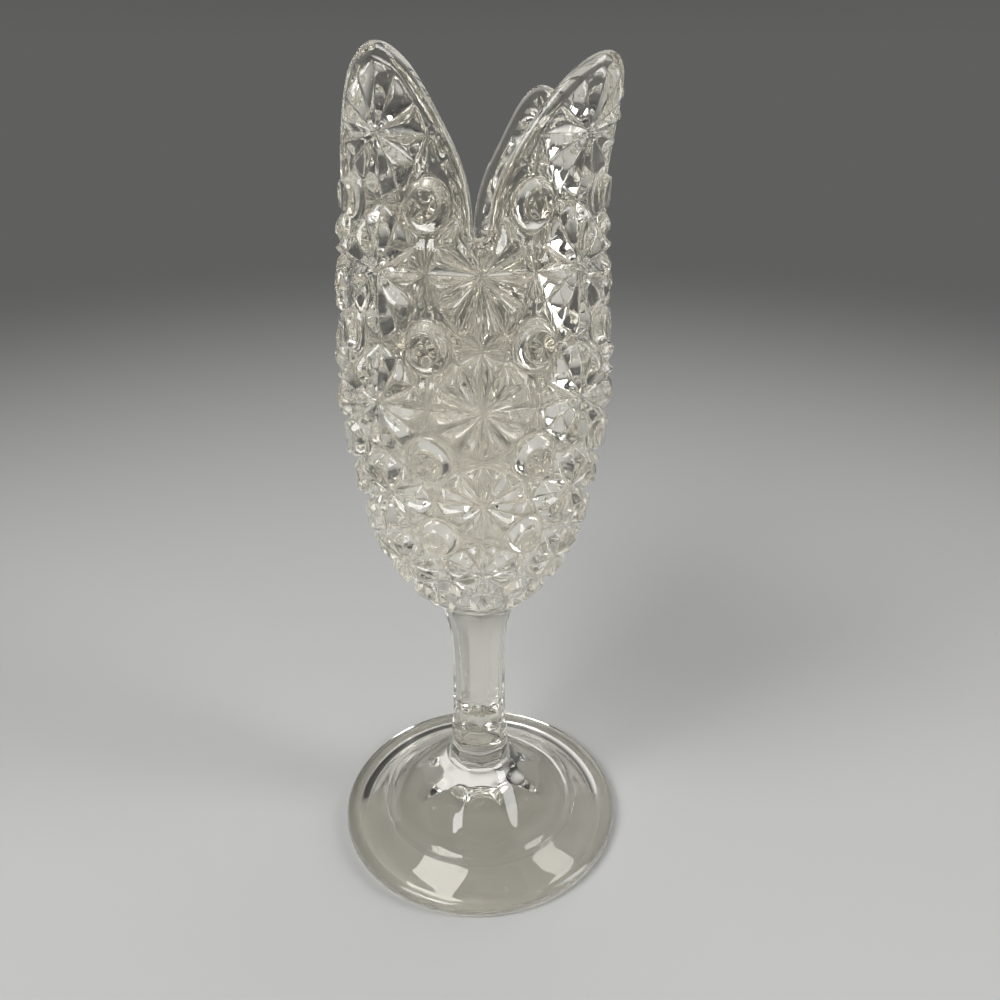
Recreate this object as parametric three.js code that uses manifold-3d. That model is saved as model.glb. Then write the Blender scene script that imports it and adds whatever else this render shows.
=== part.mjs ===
// Pressed glass pedestal vase: a bowl with four points and a daisy-and-button relief, on a
// panelled stem, a collar and a hollow domed foot. Millimetres, +Z up. The origin is the centre
// of the ring that the foot rests on, and the front notch of the rim faces -Y.
import * as THREE from 'three';
import { mergeVertices } from 'three/addons/utils/BufferGeometryUtils.js';
import Module from 'manifold-3d';

const wasm = await Module();
wasm.setup();

// Clearance where two pieces meet
const seatGap = 0.3;

// Foot
const footRadius = 48.6;
const footEdgeHeight = 5.8;
const footEdgeDepth = 2.4;
const restingWidth = 2.6;
const stepRadius = 33.6;
const stepHeight = 8.1;
const stepRise = 1.0;
const footHeight = 27.6;
const footNeckRadius = 11.2;
const hollowHeight = 14;
const fluteDepth = 0.55;

// Collar between the foot and the stem
const collarHeight = 18.8;
const collarRingRadius = 10.2;
const collarRingHeight = 5.4;
const collarKnopRadius = 9.65;

// Stem
const panelCount = 8;
const stemHeight = 45.9;
const stemBottomRadius = 8.95;
const stemWaistRadius = 8.75;
const stemTopRadius = 13.4;

// Bowl: heights are above its own seat on the stem, and its outline follows the relief's crests
const bowlWall = 5.7;
const bowlFloor = 7.1;
const cavityRounding = 18;
const bowlOutline = [
  [0, 13.4], [0.8, 15.3], [2.2, 17.6], [4.5, 20], [7.3, 22.2], [10.5, 24.4], [14.3, 26.6],
  [24.4, 32.1], [36, 34.3], [47.7, 36.8], [61.7, 38.6], [75.5, 39.3], [91.9, 37.9], [108.3, 37],
  [118, 35.9], [128, 35.5], [150, 35.6], [197, 36.3],
];

// Relief: rows of daisies with their middles at whole row numbers, and buttons at the halves.
// These are the heights of the rows and half rows, from the lowest up.
const columnCount = 8;
const lowestRow = -1;
const rowHeights = [
  3.8, 13.8, 23.9, 35.1, 47.6, 60.2, 74.8, 90.5, 108.3, 123.8, 138.7, 154.1, 169.1, 184.1,
];
const fullColumnWidth = 29.6;
const starReach = 0.5;
const cornerReach = 0.4;
const cornerOffset = 0.21;
const starDepth = 3.3;
const cornerDepth = 3;
const daisyDish = 2.2;
const petalCrest = [[0.33, 0.35], [0.8, 0]];
const smallPetalDepth = 1.9;
const buttonFootRadius = 5.9;
const buttonFootDepth = 3.5;
const buttonTopRadius = 3.9;
const buttonRise = 0.15;
const buttonDimple = 0.3;
const skirtHeight = 2.6;
const skirtFade = 3;

// Rim: each point with its height, how far its tip leans out, and how far it stands to one side.
// They differ a little, as points shaped by hand from the hot bowl do.
const rimPoints = [
  { azimuth: -45, height: 157.4, lean: 2, sideways: 4.5 },
  { azimuth: 45, height: 155.5, lean: 7.9, sideways: 2 },
  { azimuth: 135, height: 148, lean: -3.1, sideways: 0 },
  { azimuth: 225, height: 150.6, lean: 0.9, sideways: 0 },
];
// Height of the notch that follows each point
const notchFloors = [116.9, 112.8, 108.3, 112.8];
// Half of a point's outline: degrees from its middle against its share of the point's height
const pointOutline = [[45, 0], [43.3, 0], [41.9, 0.03], [40.9, 0.16], [37, 0.365], [27.8, 0.61], [14, 0.895]];

const radians = THREE.MathUtils.degToRad;

function glass() {
  return new THREE.MeshStandardMaterial({ color: 0xe6e7e1, roughness: 0.04, metalness: 0 });
}

function cylindrical(radius, azimuth, height) {
  return [radius * Math.sin(azimuth), -radius * Math.cos(azimuth), height];
}

// A closed geometry from a list of triangles, each three points
function closedGeometry(triangles) {
  const geometry = new THREE.BufferGeometry();
  geometry.setAttribute('position', new THREE.Float32BufferAttribute(triangles.flat(2), 3));
  return mergeVertices(geometry, 0.001);
}

function solid(geometry) {
  geometry.deleteAttribute('normal');
  geometry.deleteAttribute('uv');
  const merged = mergeVertices(geometry, 0.001);
  const vertProperties = new Float32Array(merged.attributes.position.array);
  const triVerts = new Uint32Array(merged.index.array);
  return new wasm.Manifold(new wasm.Mesh({ numProp: 3, vertProperties, triVerts }));
}

function geometryOf(manifold) {
  const mesh = manifold.getMesh();
  const geometry = new THREE.BufferGeometry();
  geometry.setAttribute('position', new THREE.BufferAttribute(new Float32Array(mesh.vertProperties), 3));
  geometry.setIndex(new THREE.BufferAttribute(new Uint32Array(mesh.triVerts), 1));
  return geometry;
}

// A value at x on the smooth curve through [x, value] points
function smoothAt(points, x) {
  const last = points.length - 2;
  let i = 0;
  while (i < last && x > points[i + 1][0]) i += 1;
  const slope = (k) => {
    const a = points[Math.max(k - 1, 0)];
    const b = points[Math.min(k + 1, points.length - 1)];
    return (b[1] - a[1]) / (b[0] - a[0]);
  };
  const [x0, y0] = points[i];
  const [x1, y1] = points[i + 1];
  const span = x1 - x0;
  const t = (x - x0) / span;
  const start = y0 + slope(i) * span * t;
  const end = y1 - slope(i + 1) * span * (1 - t);
  const blend = t * t * (3 - 2 * t);
  return start * (1 - blend) + end * blend;
}

// A solid of stacked rings: each ring is a function from azimuth to [radius, height].
// The first and last rings are closed by a point on the axis.
function stackedRings(rings, sides, bottom, top) {
  const at = (ring, k) => {
    const azimuth = (2 * Math.PI * (k % sides)) / sides;
    const [radius, height] = ring(azimuth);
    return cylindrical(radius, azimuth, height);
  };
  const triangles = [];
  for (let k = 0; k < sides; k += 1) {
    triangles.push([[0, 0, bottom], at(rings[0], k + 1), at(rings[0], k)]);
    for (let i = 0; i + 1 < rings.length; i += 1) {
      const [a, b] = [at(rings[i], k), at(rings[i], k + 1)];
      const [c, d] = [at(rings[i + 1], k + 1), at(rings[i + 1], k)];
      triangles.push([a, b, c], [a, c, d]);
    }
    triangles.push([[0, 0, top], at(rings.at(-1), k), at(rings.at(-1), k + 1)]);
  }
  return closedGeometry(triangles);
}

// Foot: hollow below, rounded edge, flat brim, a small step and a fluted dome up to its neck
function footGeometry() {
  const brimInner = stepRadius + stepRise;
  const domeOuter = stepRadius - stepRise;
  const domeStart = stepHeight + stepRise;
  const rings = [];
  const plain = (radius, height) => rings.push(() => [radius, height]);
  const hollowRadius = footRadius - footEdgeDepth - restingWidth;
  for (const share of [0.15, 0.35, 0.55, 0.75, 0.9]) {
    plain(hollowRadius * share, hollowHeight * (1 - share ** 1.3));
  }
  plain(hollowRadius, 0);
  for (let a = -90; a <= 90; a += 30) {
    plain(
      footRadius - footEdgeDepth * (1 - Math.cos(radians(a))),
      (footEdgeHeight / 2) * (1 + Math.sin(radians(a))),
    );
  }
  plain((footRadius - footEdgeDepth + brimInner) / 2, footEdgeHeight + (stepHeight - footEdgeHeight) * 0.42);
  plain(brimInner, stepHeight);
  const domeSteps = 9;
  for (let i = 0; i <= domeSteps; i += 1) {
    const t = i / domeSteps;
    const radius = domeOuter + (footNeckRadius - domeOuter) * t;
    const height = domeStart + (footHeight - domeStart) * t ** 1.9;
    const flute = fluteDepth * Math.sin(Math.PI * t);
    rings.push((azimuth) => [radius, height - flute * Math.abs(Math.cos((panelCount / 2) * azimuth))]);
  }
  return stackedRings(rings, 64, hollowHeight, footHeight);
}

// Radius of a regular polygon with a corner at azimuth 0, as a share of its corner radius
function panelShare(azimuth) {
  const panel = (2 * Math.PI) / panelCount;
  const offset = ((azimuth % panel) + panel) % panel - panel / 2;
  return Math.cos(panel / 2) / Math.cos(offset);
}

// Collar: a round ring below, and a knop above whose section turns into the stem's panels
function collarGeometry() {
  const outline = [
    [0, collarRingRadius - 0.6, 0], [0.14, collarRingRadius, 0], [0.5, collarRingRadius, 0],
    [0.86, collarRingRadius - 0.4, 0], [1, collarKnopRadius - 0.5, 0],
  ].map(([share, radius, panels]) => [share * collarRingHeight, radius, panels]);
  const knop = [[0.12, 1, 0.3], [0.4, 1, 0.7], [0.7, 0.55, 1], [1, 0, 1]];
  for (const [share, swell, panels] of knop) {
    const height = collarRingHeight + (collarHeight - collarRingHeight) * share;
    outline.push([height, stemBottomRadius + (collarKnopRadius - stemBottomRadius) * swell, panels]);
  }
  const rings = outline.map(([height, radius, panels]) => (azimuth) => [
    radius * (1 - panels + panels * panelShare(azimuth)), height,
  ]);
  return stackedRings(rings, 4 * panelCount, 0, collarHeight);
}

// Stem: flat panels, narrow at the waist and flared under the bowl
function stemGeometry() {
  const steps = 12;
  const rings = [];
  for (let i = 0; i <= steps; i += 1) {
    const t = i / steps;
    const radius = stemWaistRadius + (stemTopRadius - stemWaistRadius) * t ** 4
      + (stemBottomRadius - stemWaistRadius) * (1 - t) ** 6;
    rings.push((azimuth) => [radius * panelShare(azimuth), stemHeight * t]);
  }
  return stackedRings(rings, 2 * panelCount, 0, stemHeight);
}

// Height on the bowl of a row position: 0 is the lowest whole row of daisies
function rowHeight(row) {
  const place = (row - lowestRow) * 2;
  const k = THREE.MathUtils.clamp(Math.floor(place), 0, rowHeights.length - 2);
  return rowHeights[k] + (rowHeights[k + 1] - rowHeights[k]) * (place - k);
}

// Width of a column at a row, as a share of a full column's
function fullness(row) {
  return (2 * Math.PI * smoothAt(bowlOutline, rowHeight(row))) / columnCount / fullColumnWidth;
}

// A point of the relief at a column and row, below the bowl's outline along its normal. The relief
// is as deep as the column is wide.
function reliefPoint([column, row, depth]) {
  const height = rowHeight(row);
  const slope = smoothAt(bowlOutline, height + 0.5) - smoothAt(bowlOutline, height - 0.5);
  const raise = (-depth * Math.min(fullness(row), 1)) / Math.hypot(1, slope);
  const azimuth = (2 * Math.PI * column) / columnCount;
  return cylindrical(smoothAt(bowlOutline, height) + raise, azimuth, height - raise * slope);
}

// An offset turned by quarters about a cell's middle
function turned([x, y], quarter) {
  return [[x, y], [-y, x], [-x, -y], [y, -x]][quarter];
}

// A daisy: twelve petals in a ring, each a ridge between valleys that run to the cell's corners.
// The lowest row has only the petals above its middle.
function daisyTriangles(column, row) {
  const edge = [];
  for (let quarter = 0; quarter < 4; quarter += 1) {
    const corners = [
      [starReach, 0, starDepth], [cornerReach, cornerOffset, cornerDepth], [cornerOffset, cornerReach, cornerDepth],
    ];
    for (const [x, y, depth] of corners) {
      const [dx, dy] = turned([x, y], quarter);
      edge.push([column + dx, row + dy, depth]);
    }
  }
  const middle = [column, row, daisyDish];
  const triangles = [];
  edge.slice(0, row > lowestRow ? edge.length : edge.length / 2).forEach((a, i) => {
    const b = edge[(i + 1) % edge.length];
    const [near, far] = petalCrest.map(([share, depth]) => [
      column + share * ((a[0] + b[0]) / 2 - column), row + share * ((a[1] + b[1]) / 2 - row), depth,
    ]);
    triangles.push([middle, a, near], [a, far, near], [a, b, far], [b, near, far], [b, middle, near]);
  });
  return triangles;
}

// A button: its eight-sided cell falls to a moat round a raised disc with a shallow dimple
function buttonTriangles(column, row) {
  const [long, short] = [starReach - cornerOffset, starReach - cornerReach];
  const cell = [];
  for (let quarter = 0; quarter < 4; quarter += 1) {
    for (const [x, y, depth] of [[long, -short, cornerDepth], [long, 0, starDepth], [long, short, cornerDepth]]) {
      const [dx, dy] = turned([x, y], quarter);
      cell.push([column + dx, row + dy, depth]);
    }
  }
  const width = fullColumnWidth * fullness(row);
  const pitch = rowHeight(row + 0.5) - rowHeight(row - 0.5);
  const ring = (radius, depth) => cell.map((_, i) => {
    const turn = ((i - 1) * 2 * Math.PI) / cell.length;
    const reach = radius * Math.min(fullness(row), 1);
    return [column + (reach * Math.cos(turn)) / width, row + (reach * Math.sin(turn)) / pitch, depth];
  });
  const rings = [cell, ring(buttonFootRadius, buttonFootDepth), ring(buttonTopRadius, -buttonRise)];
  const middle = [column, row, buttonDimple - buttonRise];
  const triangles = [];
  for (let k = 0; k < cell.length; k += 1) {
    const next = (k + 1) % cell.length;
    for (let i = 0; i + 1 < rings.length; i += 1) {
      triangles.push([rings[i][k], rings[i][next], rings[i + 1][next]]);
      triangles.push([rings[i][k], rings[i + 1][next], rings[i + 1][k]]);
    }
    triangles.push([rings.at(-1)[k], rings.at(-1)[next], middle]);
  }
  return triangles;
}

// Small petals on two sides of the star point between two daisies, next to the buttons
function starTriangles(column, row, quarters) {
  const side = starReach - cornerReach;
  const triangles = [];
  for (const quarter of quarters) {
    const star = [column, row, starDepth];
    const far = [[side, cornerDepth], [0, starDepth], [-side, cornerDepth]].map(([x, depth]) => {
      const [dx, dy] = turned([x, cornerOffset], quarter);
      return [column + dx, row + dy, depth];
    });
    for (const [a, b] of [[far[0], far[1]], [far[1], far[2]]]) {
      const crest = [(star[0] + a[0] + b[0]) / 3, (star[1] + a[1] + b[1]) / 3, smallPetalDepth];
      triangles.push([star, a, crest], [a, b, crest], [b, star, crest]);
    }
  }
  return triangles;
}

// Edges that only one triangle uses, which bound the relief above and below
function openEdges(triangles) {
  const name = (point) => point.map((value) => value.toFixed(2)).join();
  const open = new Map();
  for (const triangle of triangles) {
    for (let i = 0; i < 3; i += 1) {
      const [a, b] = [triangle[i], triangle[(i + 1) % 3]];
      if (!open.delete(name(b) + name(a))) open.set(name(a) + name(b), [a, b]);
    }
  }
  return [...open.values()];
}

// The patterned body, closed to the axis above and below
function reliefSolid() {
  const highestRow = lowestRow + (rowHeights.length - 2) / 2;
  const cells = [];
  for (let column = 0; column < columnCount; column += 1) {
    for (let row = lowestRow; row <= highestRow; row += 1) {
      cells.push(...daisyTriangles(column, row));
      cells.push(...starTriangles(column + starReach, row, row > lowestRow ? [0, 2] : [0]));
      if (row < highestRow) {
        cells.push(...starTriangles(column, row + starReach, [1, 3]));
        cells.push(...buttonTriangles(column + starReach, row + starReach));
      }
    }
  }
  const triangles = cells.map((triangle) => triangle.map(reliefPoint));
  const middle = rowHeight(highestRow / 2);
  for (const [a, b] of openEdges(triangles)) {
    const apex = a[2] > middle ? [0, 0, rowHeight(highestRow)] : [0, 0, rowHeight(lowestRow)];
    triangles.push([b, a, apex]);
  }
  return solid(closedGeometry(triangles));
}

// The smooth skirt down to the seat on the stem: the relief fades out of it at its top
function skirtSolid() {
  const steps = 5;
  const profile = [new THREE.Vector2(0, 0), new THREE.Vector2(bowlOutline[0][1], 0)];
  for (let i = 1; i <= steps; i += 1) {
    const height = (skirtHeight * i) / steps;
    profile.push(new THREE.Vector2(smoothAt(bowlOutline, height), height));
  }
  for (const share of [0.3, 0.65, 1]) {
    const height = skirtHeight + skirtFade * share;
    profile.push(new THREE.Vector2(smoothAt(bowlOutline, height) - starDepth * share ** 1.5, height));
  }
  profile.push(new THREE.Vector2(0, skirtHeight + skirtFade));
  return solid(new THREE.LatheGeometry(profile, 48).rotateX(Math.PI / 2));
}

// The space inside the bowl
function cavitySolid() {
  const top = 2 * rowHeights.at(-1) - rowHeights.at(-2);
  const profile = [new THREE.Vector2(0, bowlFloor)];
  const steps = 14;
  for (let i = 1; i <= steps; i += 1) {
    const height = bowlFloor + (top - bowlFloor) * (i / steps) ** 1.6;
    const climb = Math.min((height - bowlFloor) / cavityRounding, 1);
    const rounding = Math.sqrt(1 - (1 - climb) ** 2);
    profile.push(new THREE.Vector2((smoothAt(bowlOutline, height) - bowlWall) * rounding, height));
  }
  profile.push(new THREE.Vector2(0, top));
  return solid(new THREE.LatheGeometry(profile, 48).rotateX(Math.PI / 2));
}

// What is cut away between a rim point and the next: a wedge over the notch between them
function notchSolid(index) {
  const [left, right] = [rimPoints[index], rimPoints[(index + 1) % rimPoints.length]];
  const floor = notchFloors[index];
  const overlap = 2;
  const top = 3 * rowHeights.at(-1) - 2 * rowHeights.at(-2);
  const mirrored = [...pointOutline, [0, 1], ...pointOutline.map(([a, s]) => [-a, s]).reverse()];
  const curve = new THREE.SplineCurve(mirrored.map(([a, s]) => new THREE.Vector2(a, s)));
  const half = curve.getPoints(4 * pointOutline.length).slice(0, 2 * pointOutline.length + 1);
  const outline = [new THREE.Vector2(-45 - overlap, top)];
  outline.push(new THREE.Vector2(-45 - overlap, left.height));
  for (const p of half.toReversed()) {
    outline.push(new THREE.Vector2(p.x - 45, floor + (left.height - floor) * p.y));
  }
  for (const p of half.slice(1)) {
    outline.push(new THREE.Vector2(45 - p.x, floor + (right.height - floor) * p.y));
  }
  outline.push(new THREE.Vector2(45 + overlap, right.height), new THREE.Vector2(45 + overlap, top));
  // The middle one of the wedge's three steps holds the whole wall, so its cut is even
  const radii = [0.1, 0.75, 1.25, 3].map((share) => share * bowlOutline.at(-1)[1]);
  const steps = radii.length - 1;
  const wedge = new THREE.ExtrudeGeometry(new THREE.Shape(outline), {
    depth: steps, steps, bevelEnabled: false,
  });
  const position = wedge.attributes.position;
  for (let i = 0; i < position.count; i += 1) {
    const radius = radii[Math.round(position.getZ(i))];
    const azimuth = radians(left.azimuth + 45 + position.getX(i));
    position.setXYZ(i, ...cylindrical(radius, azimuth, position.getY(i)));
  }
  return solid(wedge);
}

// Leans each rim point out or in and to its side, more towards its tip
function shapePoints(geometry) {
  const position = geometry.attributes.position;
  for (let i = 0; i < position.count; i += 1) {
    const [x, y, z] = [position.getX(i), position.getY(i), position.getZ(i)];
    const azimuth = THREE.MathUtils.radToDeg(Math.atan2(x, -y));
    const quarter = THREE.MathUtils.euclideanModulo(Math.round((azimuth - rimPoints[0].azimuth) / 90), 4);
    const point = rimPoints[quarter];
    const offset = THREE.MathUtils.euclideanModulo(azimuth - point.azimuth + 180, 360) - 180;
    const floor = offset > 0 ? notchFloors[quarter] : notchFloors.at(quarter - 1);
    const climb = THREE.MathUtils.clamp((z - floor) / (point.height - floor), 0, 1);
    const radius = Math.hypot(x, y) + point.lean * climb ** 2;
    position.setXYZ(i, ...cylindrical(radius, radians(azimuth + point.sideways * climb), z));
  }
  return geometry;
}

function bowlGeometry() {
  let body = reliefSolid().add(skirtSolid()).subtract(cavitySolid());
  rimPoints.forEach((_, index) => {
    body = body.subtract(notchSolid(index));
  });
  return shapePoints(geometryOf(body));
}

function piece(name, geometry, height) {
  const mesh = new THREE.Mesh(geometry, glass());
  mesh.name = name;
  mesh.position.z = height;
  return mesh;
}

const collarSeat = footHeight + seatGap;
const stemSeat = collarSeat + collarHeight + seatGap;
const bowlSeat = stemSeat + stemHeight + seatGap;

const vase = new THREE.Group();
vase.add(
  piece('foot', footGeometry(), 0),
  piece('collar', collarGeometry(), collarSeat),
  piece('stem', stemGeometry(), stemSeat),
  piece('bowl', bowlGeometry(), bowlSeat),
);

export default vase;
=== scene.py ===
"""Pressed glass pedestal vase: a bowl with a daisy-and-button relief and four points, on a
panelled stem, a collar and a hollow domed foot, all of clear glass joined while hot."""
import math

import bmesh
import bpy
import numpy as np
from bpy.props import FloatProperty, FloatVectorProperty, IntProperty, PointerProperty
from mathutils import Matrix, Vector


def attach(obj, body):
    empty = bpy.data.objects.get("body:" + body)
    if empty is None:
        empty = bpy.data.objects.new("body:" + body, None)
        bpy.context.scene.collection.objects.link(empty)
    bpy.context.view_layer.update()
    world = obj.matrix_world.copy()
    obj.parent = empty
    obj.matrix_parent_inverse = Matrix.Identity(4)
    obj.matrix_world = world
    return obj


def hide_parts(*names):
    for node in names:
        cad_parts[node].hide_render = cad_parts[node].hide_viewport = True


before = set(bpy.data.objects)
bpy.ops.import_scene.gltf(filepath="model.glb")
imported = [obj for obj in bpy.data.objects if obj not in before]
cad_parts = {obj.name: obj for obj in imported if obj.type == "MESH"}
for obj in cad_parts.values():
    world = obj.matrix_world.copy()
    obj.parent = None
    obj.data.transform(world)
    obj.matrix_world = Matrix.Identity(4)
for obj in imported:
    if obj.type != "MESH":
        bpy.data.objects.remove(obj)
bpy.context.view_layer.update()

bl_info = {
    "name": "Pressed Glass Pedestal Vase",
    "version": (1, 0, 0),
    "blender": (4, 5, 0),
    "location": "View3D > Sidebar > Vase",
    "description": "Builds a pressed glass pedestal vase with a daisy-and-button relief",
    "category": "Object",
}

MM = 0.001

# Levels at which the four pieces meet
FOOT_TOP = 27.75 * MM
COLLAR_TOP = 46.85 * MM
STEM_TOP = 93.05 * MM
BOWL_BASE = 93.2 * MM

# Radius of the seam between the foot and the collar, in millimetres
SEAM_RADIUS = 10.2

# Corners round each piece that is turned from a circle
SIDES = 192

# Foot: depth of its rounded edge, width of the ring it rests on, depth of its hollow, height over
# its edge at which the dome starts, height at which the dome ends, and radius of its neck
FOOT_ROUNDING = 2.4 * MM
REST_WIDTH = 2.6 * MM
HOLLOW_DEPTH = 14 * MM
DOME_START = 3.4 * MM
DOME_TOP = 27 * MM
NECK_RADIUS = 11.3 * MM

# Lengths from here to the property groups are in millimetres, and heights are above the bowl's base
# The bowl's outline at the crests of its relief: height, radius
BOWL_OUTLINE = [
    (0, 13.4), (0.8, 15.3), (2.2, 17.6), (4.5, 20), (7.3, 22.2), (10.5, 24.4), (14.3, 26.6),
    (24.4, 32.1), (36, 34.3), (47.7, 36.8), (61.7, 38.6), (75.5, 39.3), (91.9, 37.9), (108.3, 37),
    (118, 35.9), (128, 35.5), (150, 35.6), (197, 36.3),
]
# Height of each row of daisies, and of the rows of buttons at the halves
ROW_HEIGHTS = [
    (-1, 3.8), (-0.5, 13.8), (0, 23.9), (0.5, 35.1), (1, 47.6), (1.5, 60.2), (2, 74.8), (2.5, 90.5),
    (3, 108.3), (3.5, 123.8), (4, 138.7), (4.5, 154.1), (5, 169.1), (6, 199.1),
]
# Rows of daisies; the skirt cuts the lowest in half
ROWS = range(-1, 6)
COLUMNS = 8
# Width of a full column, at which the relief has its full depth
FULL_COLUMN = 29.6

# Rim points: azimuth, height, how far the tip leans out, how far it stands to one side in degrees
RIM_POINTS = [(-45, 157.4, 2, 4.5), (45, 155.5, 7.9, 2), (135, 148, -3.1, 0), (225, 150.6, 0.9, 0)]
# Height of the notch that follows each point
NOTCH_FLOORS = [116.9, 112.8, 108.3, 112.8]
# Half of a point's outline: degrees from its middle, share of its height
POINT_OUTLINE = [
    (45, 0), (43.3, 0), (41.9, 0.03), (40.9, 0.16), (37, 0.365), (27.8, 0.61), (14, 0.895),
]
# Height and depth of the smooth skirt under the relief
SKIRT_TOP = 3.9
SKIRT_DEPTH = 0.4
# Distance from the rim at which the relief and the inside of the bowl are cut
RIM_CUT = 2.6
# Distance from the rim to the edges of its smooth band, and to where its rounding starts
RIM_BAND, RIM_EDGE = 2.3, 2.0
# Radius at which the rim is laid out flat, and its length there
RIM_RADIUS = 36
RIM_LENGTH = 2 * math.pi * RIM_RADIUS
# Height of the cavity's floor, and of the bowl's seat on the stem
CAVITY_FLOOR = 7.1
SEAT_LEVEL = (STEM_TOP - BOWL_BASE) / MM


class VaseSizes(bpy.types.PropertyGroup):
    foot_radius: FloatProperty(
        name="Foot Radius", description="Radius of the round foot",
        default=48.6 * MM, unit="LENGTH",
    )
    foot_edge: FloatProperty(
        name="Foot Edge", description="Height of the foot's rounded edge",
        default=5.8 * MM, unit="LENGTH",
    )
    step_radius: FloatProperty(
        name="Step Radius", description="Radius of the small step round the dome",
        default=33.6 * MM, unit="LENGTH",
    )
    flute_depth: FloatProperty(
        name="Flute Depth", description="Depth of the flutes in the foot's dome",
        default=0.9 * MM, unit="LENGTH",
    )
    ring_radius: FloatProperty(
        name="Ring Radius", description="Radius of the ring under the knop",
        default=10.2 * MM, unit="LENGTH",
    )
    knop_radius: FloatProperty(
        name="Knop Radius", description="Radius of the knop under the stem",
        default=9.65 * MM, unit="LENGTH",
    )
    stem_foot: FloatProperty(
        name="Stem Foot", description="Corner radius of the stem on the collar",
        default=8.95 * MM, unit="LENGTH",
    )
    stem_waist: FloatProperty(
        name="Stem Waist", description="Corner radius of the stem at its waist",
        default=8.75 * MM, unit="LENGTH",
    )
    stem_flare: FloatProperty(
        name="Stem Flare", description="Corner radius of the stem under the bowl",
        default=13.4 * MM, unit="LENGTH",
    )
    bowl_wall: FloatProperty(
        name="Bowl Wall", description="Thickness of the bowl from the crests of its relief",
        default=5.7 * MM, unit="LENGTH",
    )
    panels: IntProperty(name="Panels", description="Number of flat panels round the stem", default=8, min=3)


class ReliefSizes(bpy.types.PropertyGroup):
    valley: FloatProperty(
        name="Valley Depth", description="Depth of the lines round each cell",
        default=3.3 * MM, unit="LENGTH",
    )
    centre: FloatProperty(
        name="Daisy Centre", description="Depth of the middle of a daisy",
        default=2.2 * MM, unit="LENGTH",
    )
    petal_rise: FloatProperty(
        name="Petal Rise", description="Rise of a petal from its valleys",
        default=3.0 * MM, unit="LENGTH",
    )
    petal_slope: FloatProperty(
        name="Petal Slope", description="Width of a petal's slope from valley to crest",
        default=2.6 * MM, unit="LENGTH",
    )
    button_rise: FloatProperty(
        name="Button Rise", description="Height of the buttons over the petals",
        default=0.15 * MM, unit="LENGTH",
    )
    rim_depth: FloatProperty(
        name="Rim Depth", description="Depth of the smooth rim under the petals",
        default=1.6 * MM, unit="LENGTH",
    )
    rim_width: FloatProperty(
        name="Rim Width", description="Width of the smooth band along the rim",
        default=2.1 * MM, unit="LENGTH",
    )


class VaseColors(bpy.types.PropertyGroup):
    glass: FloatVectorProperty(
        name="Glass", description="Tint of the clear glass",
        default=(0.975, 0.95, 0.88), size=3, min=0, max=1, subtype="COLOR",
    )
    floor: FloatVectorProperty(
        name="Floor", description="Colour of the studio floor",
        default=(0.54, 0.54, 0.53), size=3, min=0, max=1, subtype="COLOR",
    )


def smooth_at(points, x):
    """Value at x on the smooth curve through (x, value) points."""
    xs, ys = np.array(points, float).T
    slopes = np.gradient(ys, xs)
    slopes[1:-1] = (ys[2:] - ys[:-2]) / (xs[2:] - xs[:-2])
    i = np.clip(np.searchsorted(xs, x) - 1, 0, len(xs) - 2)
    span = xs[i + 1] - xs[i]
    t = (x - xs[i]) / span
    start = ys[i] + slopes[i] * span * t
    end = ys[i + 1] - slopes[i + 1] * span * (1 - t)
    blend = t * t * (3 - 2 * t)
    return start * (1 - blend) + end * blend


def eased(low, high, x):
    """0 at low, 1 at high, and smooth between them."""
    t = np.clip((x - low) / (high - low), 0, 1)
    return t * t * (3 - 2 * t)


def panel_share(azimuth, panels, rounding=150):
    """Radius of a polygon with rounded corners, one at azimuth 0, as a share of its corner radius."""
    panel = 2 * math.pi / panels
    offset = azimuth % panel
    near = np.maximum(np.cos(offset - panel / 2), 1e-3) ** rounding
    before = np.maximum(np.cos(offset + panel / 2), 1e-3) ** rounding
    after = np.maximum(np.cos(offset - 1.5 * panel), 1e-3) ** rounding
    return math.cos(panel / 2) / (near + before + after) ** (1 / rounding)


# Pieces turned from a circle

def turned_piece(name, outline, sides):
    """Extrudes a circle ring by ring up an outline of (radius, height) and closes both ends on the axis."""
    bpy.ops.object.select_all(action="DESELECT")
    radius, height = outline[0]
    bpy.ops.mesh.primitive_circle_add(vertices=sides, radius=radius, location=(0, 0, height))
    piece = bpy.context.object
    piece.name = piece.data.name = name
    bpy.ops.object.mode_set(mode="EDIT")
    bpy.ops.mesh.select_all(action="SELECT")
    bpy.ops.mesh.extrude_edges_move()
    bpy.ops.mesh.merge(type="CENTER")
    bpy.ops.mesh.select_all(action="DESELECT")
    bpy.ops.mesh.select_mode(type="EDGE")
    bpy.ops.mesh.select_non_manifold()
    for (r0, z0), (r1, z1) in zip(outline, outline[1:]):
        bpy.ops.mesh.extrude_edges_move(TRANSFORM_OT_translate={"value": (0, 0, z1 - z0)})
        bpy.ops.transform.resize(value=(r1 / r0, r1 / r0, 1), center_override=(0, 0, z1))
    bpy.ops.mesh.extrude_edges_move()
    bpy.ops.mesh.merge(type="CENTER")
    bpy.ops.mesh.select_mode(type="VERT")
    bpy.ops.mesh.select_all(action="SELECT")
    bpy.ops.mesh.normals_make_consistent(inside=False)
    bpy.ops.object.mode_set(mode="OBJECT")
    bpy.ops.object.transform_apply(location=True, rotation=False, scale=False)
    return piece


def reshape(piece, change):
    """Moves each vertex to the radius and height that change gives for its radius, azimuth and height."""
    for vertex in piece.data.vertices:
        x, y, z = vertex.co
        azimuth = math.atan2(x, -y)
        radius, height = change(math.hypot(x, y), azimuth, z)
        vertex.co = (radius * math.sin(azimuth), -radius * math.cos(azimuth), height)
    piece.data.update()


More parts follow.
